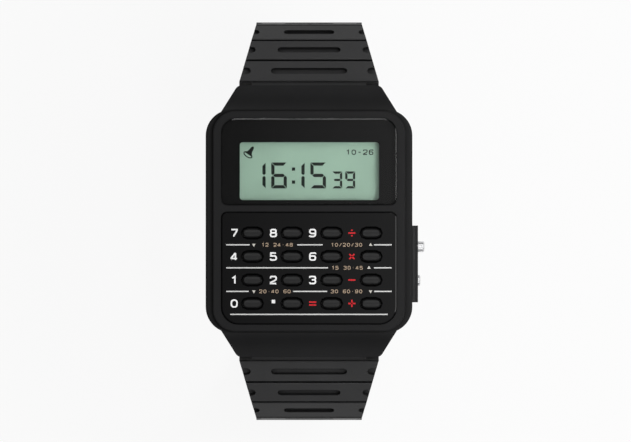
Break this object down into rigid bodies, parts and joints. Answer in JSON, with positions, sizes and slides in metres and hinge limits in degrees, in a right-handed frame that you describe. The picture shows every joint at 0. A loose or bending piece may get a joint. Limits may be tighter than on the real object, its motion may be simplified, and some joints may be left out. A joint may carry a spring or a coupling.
{
  "type": "calculator watch",
  "caption": "Digital calculator wristwatch with display, small keypad, side pushers and an unbuckled two-part resin strap.",
  "frame": {"origin": "middle of the back cover's outer face", "axes": "+Z out of the display, +Y toward the 12 o'clock strap half, +X toward the pushers"},
  "size_m": [0.0351, 0.0646, 0.0645],
  "materials": {
    "case_resin": "satin moulded resin",
    "strap_resin": "matt flexible resin",
    "crystal": "clear polished acrylic",
    "mask_print": "black print",
    "keypad": "satin black",
    "key_resin": "satin dark grey",
    "key_rubber": "matt",
    "display": "grey green liquid crystal",
    "reflector": "satin",
    "contact_rubber": "matt",
    "frame_plastic": "matt",
    "board": "satin",
    "chip": "matt",
    "ceramic": "matt",
    "contact_brass": "satin",
    "steel": "brushed",
    "spring_steel": "drawn wire",
    "pusher_steel": "polished",
    "gasket": "matt"
  },
  "bodies": {
    "watch_case": {"case_shell": "case_resin", "crystal": "crystal", "display_mask": "mask_print", "keypad_plate": "keypad", "key_sheet": "key_rubber", "lcd_cell": "display", "lcd_reflector": "reflector", "contact_strips": "contact_rubber", "lcd_holder": "frame_plastic", "main_board": "board", "controller_chip": "chip", "timing_crystal": "steel", "chip_capacitors": "ceramic", "switch_contacts": "contact_brass", "coin_cell": "steel", "cell_clamp": "steel", "cell_contact": "spring_steel", "buzzer_contact": "spring_steel", "buzzer_disc": "contact_brass", "module_frame": "frame_plastic", "back_gasket": "gasket", "back_cover": "steel", "back_screws": "steel", "mode_spring": "spring_steel", "adjust_spring": "spring_steel", "pusher_seals": "gasket", "upper_bar_tube": "steel", "lower_bar_tube": "steel", "bar_springs": "spring_steel"},
    "key_7": {"key_7": "key_resin"},
    "key_8": {"key_8": "key_resin"},
    "key_9": {"key_9": "key_resin"},
    "key_divide": {"key_divide": "key_resin"},
    "key_4": {"key_4": "key_resin"},
    "key_5": {"key_5": "key_resin"},
    "key_6": {"key_6": "key_resin"},
    "key_times": {"key_times": "key_resin"},
    "key_1": {"key_1": "key_resin"},
    "key_2": {"key_2": "key_resin"},
    "key_3": {"key_3": "key_resin"},
    "key_minus": {"key_minus": "key_resin"},
    "key_0": {"key_0": "key_resin"},
    "key_point": {"key_point": "key_resin"},
    "key_equals": {"key_equals": "key_resin"},
    "key_plus": {"key_plus": "key_resin"},
    "mode_button": {"mode_pusher": "pusher_steel", "mode_clip": "spring_steel"},
    "adjust_button": {"adjust_pusher": "pusher_steel", "adjust_clip": "spring_steel"},
    "upper_bar_tip_right": {"upper_bar_tip_right": "steel"},
    "upper_bar_tip_left": {"upper_bar_tip_left": "steel"},
    "lower_bar_tip_right": {"lower_bar_tip_right": "steel"},
    "lower_bar_tip_left": {"lower_bar_tip_left": "steel"},
    "upper_strap": {"upper_strap": "strap_resin"},
    "lower_strap": {"lower_strap": "strap_resin"},
    "buckle": {"buckle_frame": "steel", "buckle_bar": "steel"},
    "tongue": {"buckle_tongue": "steel"},
    "keeper": {"strap_keeper": "strap_resin"}
  },
  "joints": [
    {"name": "key_7_press", "type": "slide", "parent": "watch_case", "child": "key_7", "axis": [0, 0, -1], "range_m": [0, 0.0004], "stiffness_N_per_m": 400, "springref_m": -0.0005, "deforming": ["key_sheet"]},
    {"name": "key_8_press", "type": "slide", "parent": "watch_case", "child": "key_8", "axis": [0, 0, -1], "range_m": [0, 0.0004], "stiffness_N_per_m": 400, "springref_m": -0.0005, "deforming": ["key_sheet"]},
    {"name": "key_9_press", "type": "slide", "parent": "watch_case", "child": "key_9", "axis": [0, 0, -1], "range_m": [0, 0.0004], "stiffness_N_per_m": 400, "springref_m": -0.0005, "deforming": ["key_sheet"]},
    {"name": "key_divide_press", "type": "slide", "parent": "watch_case", "child": "key_divide", "axis": [0, 0, -1], "range_m": [0, 0.0004], "stiffness_N_per_m": 400, "springref_m": -0.0005, "deforming": ["key_sheet"]},
    {"name": "key_4_press", "type": "slide", "parent": "watch_case", "child": "key_4", "axis": [0, 0, -1], "range_m": [0, 0.0004], "stiffness_N_per_m": 400, "springref_m": -0.0005, "deforming": ["key_sheet"]},
    {"name": "key_5_press", "type": "slide", "parent": "watch_case", "child": "key_5", "axis": [0, 0, -1], "range_m": [0, 0.0004], "stiffness_N_per_m": 400, "springref_m": -0.0005, "deforming": ["key_sheet"]},
    {"name": "key_6_press", "type": "slide", "parent": "watch_case", "child": "key_6", "axis": [0, 0, -1], "range_m": [0, 0.0004], "stiffness_N_per_m": 400, "springref_m": -0.0005, "deforming": ["key_sheet"]},
    {"name": "key_times_press", "type": "slide", "parent": "watch_case", "child": "key_times", "axis": [0, 0, -1], "range_m": [0, 0.0004], "stiffness_N_per_m": 400, "springref_m": -0.0005, "deforming": ["key_sheet"]},
    {"name": "key_1_press", "type": "slide", "parent": "watch_case", "child": "key_1", "axis": [0, 0, -1], "range_m": [0, 0.0004], "stiffness_N_per_m": 400, "springref_m": -0.0005, "deforming": ["key_sheet"]},
    {"name": "key_2_press", "type": "slide", "parent": "watch_case", "child": "key_2", "axis": [0, 0, -1], "range_m": [0, 0.0004], "stiffness_N_per_m": 400, "springref_m": -0.0005, "deforming": ["key_sheet"]},
    {"name": "key_3_press", "type": "slide", "parent": "watch_case", "child": "key_3", "axis": [0, 0, -1], "range_m": [0, 0.0004], "stiffness_N_per_m": 400, "springref_m": -0.0005, "deforming": ["key_sheet"]},
    {"name": "key_minus_press", "type": "slide", "parent": "watch_case", "child": "key_minus", "axis": [0, 0, -1], "range_m": [0, 0.0004], "stiffness_N_per_m": 400, "springref_m": -0.0005, "deforming": ["key_sheet"]},
    {"name": "key_0_press", "type": "slide", "parent": "watch_case", "child": "key_0", "axis": [0, 0, -1], "range_m": [0, 0.0004], "stiffness_N_per_m": 400, "springref_m": -0.0005, "deforming": ["key_sheet"]},
    {"name": "key_point_press", "type": "slide", "parent": "watch_case", "child": "key_point", "axis": [0, 0, -1], "range_m": [0, 0.0004], "stiffness_N_per_m": 400, "springref_m": -0.0005, "deforming": ["key_sheet"]},
    {"name": "key_equals_press", "type": "slide", "parent": "watch_case", "child": "key_equals", "axis": [0, 0, -1], "range_m": [0, 0.0004], "stiffness_N_per_m": 400, "springref_m": -0.0005, "deforming": ["key_sheet"]},
    {"name": "key_plus_press", "type": "slide", "parent": "watch_case", "child": "key_plus", "axis": [0, 0, -1], "range_m": [0, 0.0004], "stiffness_N_per_m": 400, "springref_m": -0.0005, "deforming": ["key_sheet"]},
    {"name": "mode_press", "type": "slide", "parent": "watch_case", "child": "mode_button", "axis": [-1, 0, 0], "range_m": [0, 0.0007], "stiffness_N_per_m": 500, "springref_m": -0.0005, "deforming": ["mode_spring"]},
    {"name": "adjust_press", "type": "slide", "parent": "watch_case", "child": "adjust_button", "axis": [-1, 0, 0], "range_m": [0, 0.0007], "stiffness_N_per_m": 500, "springref_m": -0.0005, "deforming": ["adjust_spring"]},
    {"name": "upper_bar_tip_right_press", "type": "slide", "parent": "watch_case", "child": "upper_bar_tip_right", "axis": [-1, 0, 0], "range_m": [0, 0.00105], "stiffness_N_per_m": 600, "springref_m": -0.0006, "deforming": ["bar_springs"]},
    {"name": "upper_bar_tip_left_press", "type": "slide", "parent": "watch_case", "child": "upper_bar_tip_left", "axis": [1, 0, 0], "range_m": [0, 0.00105], "stiffness_N_per_m": 600, "springref_m": -0.0006, "deforming": ["bar_springs"]},
    {"name": "lower_bar_tip_right_press", "type": "slide", "parent": "watch_case", "child": "lower_bar_tip_right", "axis": [-1, 0, 0], "range_m": [0, 0.00105], "stiffness_N_per_m": 600, "springref_m": -0.0006, "deforming": ["bar_springs"]},
    {"name": "lower_bar_tip_left_press", "type": "slide", "parent": "watch_case", "child": "lower_bar_tip_left", "axis": [1, 0, 0], "range_m": [0, 0.00105], "stiffness_N_per_m": 600, "springref_m": -0.0006, "deforming": ["bar_springs"]},
    {"name": "upper_strap_hinge", "type": "hinge", "parent": "watch_case", "child": "upper_strap", "pos_m": [0, 0.0198, 0.0025], "axis": [1, 0, 0], "range_deg": [-25, 8]},
    {"name": "lower_strap_hinge", "type": "hinge", "parent": "watch_case", "child": "lower_strap", "pos_m": [0, -0.0198, 0.0025], "axis": [-1, 0, 0], "range_deg": [-3, 35]},
    {"name": "buckle_hinge", "type": "hinge", "parent": "upper_strap", "child": "buckle", "pos_m": [0, 0.0007, -0.036], "axis": [1, 0, 0], "range_deg": [-60, 15]},
    {"name": "tongue_hinge", "type": "hinge", "parent": "buckle", "child": "tongue", "pos_m": [0, 0.0007, -0.036], "axis": [1, 0, 0], "range_deg": [0, 40]},
    {"name": "keeper_slide", "type": "slide", "parent": "upper_strap", "child": "keeper", "axis": [0, 1, 0], "range_m": [-0.002, 0.002]}
  ]
}
